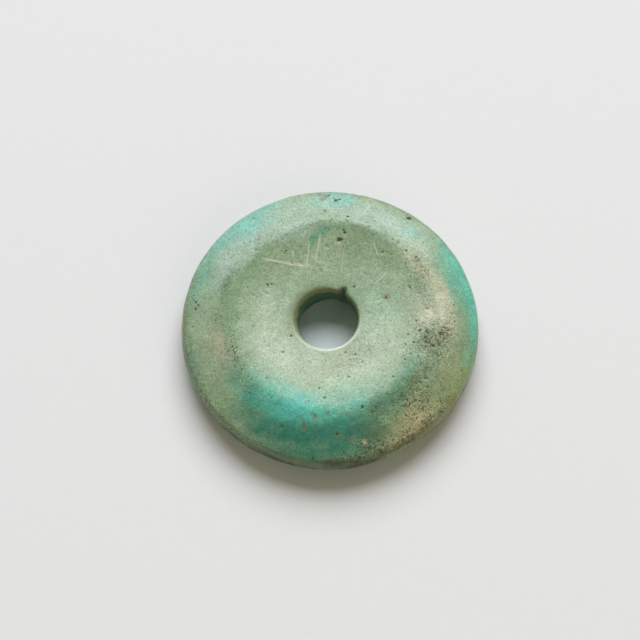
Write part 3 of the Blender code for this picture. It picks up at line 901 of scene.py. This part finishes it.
def stone_material():
    """Weathered turquoise: the coats kept on the mesh, with grain, grit, dirt and scratches over them."""
    material = bpy.data.materials.new("weathered turquoise")
    material.use_nodes = True
    tree = material.node_tree
    shader = tree.nodes["Principled BSDF"]
    where = in_millimetres(tree)
    flat = vector(tree, "MULTIPLY", where, (1.0, 1.0, 0.0)).outputs[0]
    grit = attribute(tree, "grit").outputs["Fac"]
    mark_dirt = spots(tree, flat, [(turn, reach, radius, dirt) for turn, reach, radius, _, dirt in MARKS])
    dirt = reckon(tree, "MAXIMUM", attribute(tree, "dirt").outputs["Fac"], mark_dirt)
    fine = grain(tree, where, *FINE_GRAIN)
    broad = grain(tree, where, *BROAD_GRAIN)
    dark = specks(tree, where, grit)
    lines = scratches(tree, flat)

    colour = grained(tree, where, grit, fine, broad, attribute(tree, "stone").outputs["Color"])
    colour = blend(tree, dark, colour, SPECK_COLOUR)
    colour = blend(tree, lines, colour, SCRATCH_COLOUR)
    colour, grime = paint_hole(tree, where, flat, colour)
    for tint, blots in STAINS:
        colour = blend(tree, spots(tree, flat, blots), colour, tint)
    dirt_share = times(tree, rise(tree, dirt, *DIRT_EDGE), DIRT_STRENGTH)
    colour = blend(tree, dirt_share, colour, DIRT_COLOUR)
    tree.links.new(colour, shader.inputs["Base Color"])

    dull = reckon(tree, "MAXIMUM", reckon(tree, "MAXIMUM", dark, dirt), grime)
    clean_roughness = times(tree, broad, ROUGHNESS_CHANGE)
    clean_roughness = reckon(tree, "ADD", clean_roughness, STONE_ROUGHNESS - ROUGHNESS_CHANGE / 2)
    roughness = reckon(tree, "ADD", clean_roughness, times(tree, dull, DIRT_ROUGHNESS))
    tree.links.new(roughness, shader.inputs["Roughness"])

    height = reckon(tree, "SUBTRACT", times(tree, fine, GRAIN_RELIEF), times(tree, dark, SPECK_RELIEF))
    height = reckon(tree, "SUBTRACT", height, lines)
    inputs = {"Height": height, "Strength": BUMP_STRENGTH, "Distance": BUMP_HEIGHT}
    tree.links.new(add(tree, "ShaderNodeBump", inputs).outputs[0], shader.inputs["Normal"])
    return material


def paper_material():
    """Matte pale paper with a faint tooth."""
    material = bpy.data.materials.new("paper")
    material.use_nodes = True
    tree = material.node_tree
    shader = tree.nodes["Principled BSDF"]
    tooth = grain(tree, in_millimetres(tree), *PAPER_GRAIN)
    tone = reckon(tree, "MULTIPLY_ADD", tooth, PAPER_TOOTH, PAPER_TONE - PAPER_TOOTH / 2)
    tree.links.new(grey(tree, tone), shader.inputs["Base Color"])
    shader.inputs["Roughness"].default_value = PAPER_ROUGHNESS
    shader.inputs["Specular IOR Level"].default_value = PAPER_SPECULAR
    return material


# ---------------------------------------------------------------- floor, camera and lights
def make_floor():
    mesh = bpy.data.meshes.new("paper")
    signs = ((-1, -1), (1, -1), (1, 1), (-1, 1))
    corners = [(across * FLOOR_HALF, along * FLOOR_HALF, 0.0) for across, along in signs]
    mesh.from_pydata(corners, [], [(0, 1, 2, 3)])
    mesh.materials.append(paper_material())
    floor = bpy.data.objects.new("paper", mesh)
    floor.location.z = cad_box[0][2] - FLOOR_GAP
    bpy.context.scene.collection.objects.link(floor)


def make_camera():
    middle = (Vector(cad_box[0]) + Vector(cad_box[1])) / 2
    tilted = Matrix.Rotation(math.radians(VIEW_TILT), 4, "X")
    turned = tilted @ Matrix.Rotation(math.radians(VIEW_ROLL), 4, "Z")
    camera = bpy.data.objects.new("camera", bpy.data.cameras.new("camera"))
    camera.data.sensor_width = SENSOR_WIDTH
    camera.data.lens = SENSOR_WIDTH * VIEW_DISTANCE / VIEW_WIDTH
    camera.data.clip_start = VIEW_START
    aim = Vector((AIM_RIGHT, AIM_UP, VIEW_DISTANCE))
    camera.matrix_world = Matrix.Translation(middle) @ turned @ Matrix.Translation(aim)
    bpy.context.scene.collection.objects.link(camera)
    bpy.context.scene.camera = camera


def place_lamp(name, elevation, turn, size, power, colour):
    """A soft elliptical lamp at LIGHT_DISTANCE, turned to the bead."""
    lamp = bpy.data.objects.new(name, bpy.data.lights.new(name, "AREA"))
    lamp.data.shape = "ELLIPSE"
    lamp.data.size, lamp.data.size_y = size
    lamp.data.energy = power
    lamp.data.color = colour
    up, round_bead = math.radians(elevation), math.radians(turn)
    level = math.cos(up)
    towards = Vector((level * math.cos(round_bead), level * math.sin(round_bead), math.sin(up)))
    lamp.location = towards * LIGHT_DISTANCE
    lamp.rotation_euler = towards.to_track_quat("Z", "Y").to_euler()
    bpy.context.scene.collection.objects.link(lamp)


def make_lights():
    """A broad soft window behind the bead, a dim warm room in front of it, and a warm sky."""
    place_lamp("window", WINDOW_RISE, WINDOW_TURN, WINDOW_SIZE, WINDOW_POWER, WINDOW_COLOUR)
    place_lamp("room", ROOM_RISE, ROOM_TURN, ROOM_SIZE, ROOM_POWER, ROOM_COLOUR)
    world = bpy.data.worlds.new("sky")
    world.use_nodes = True
    tree = world.node_tree
    background = tree.nodes["Background"]
    background.inputs["Color"].default_value = (*ROOM_COLOUR, 1.0)
    tilt = math.radians(VIEW_TILT)
    line_of_sight = (0.0, -math.sin(tilt), math.cos(tilt))
    direction = add(tree, "ShaderNodeTexCoord", {}).outputs["Generated"]
    along = vector(tree, "DOT_PRODUCT", direction, line_of_sight).outputs["Value"]
    edge, core = (math.cos(math.radians(angle)) for angle in (SKY_HIDDEN_EDGE, SKY_HIDDEN_CORE))
    hidden = rise(tree, along, edge, core)
    strength = reckon(tree, "MULTIPLY_ADD", hidden, -SKY_HIDDEN * SKY_STRENGTH, SKY_STRENGTH)
    tree.links.new(strength, background.inputs["Strength"])
    bpy.context.scene.world = world


bead = make_bead()
bead.data.materials.append(stone_material())
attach(bead, "root")
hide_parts("disc_bead")
make_floor()
make_camera()
make_lights()
bpy.context.scene.view_settings.view_transform = "Standard"
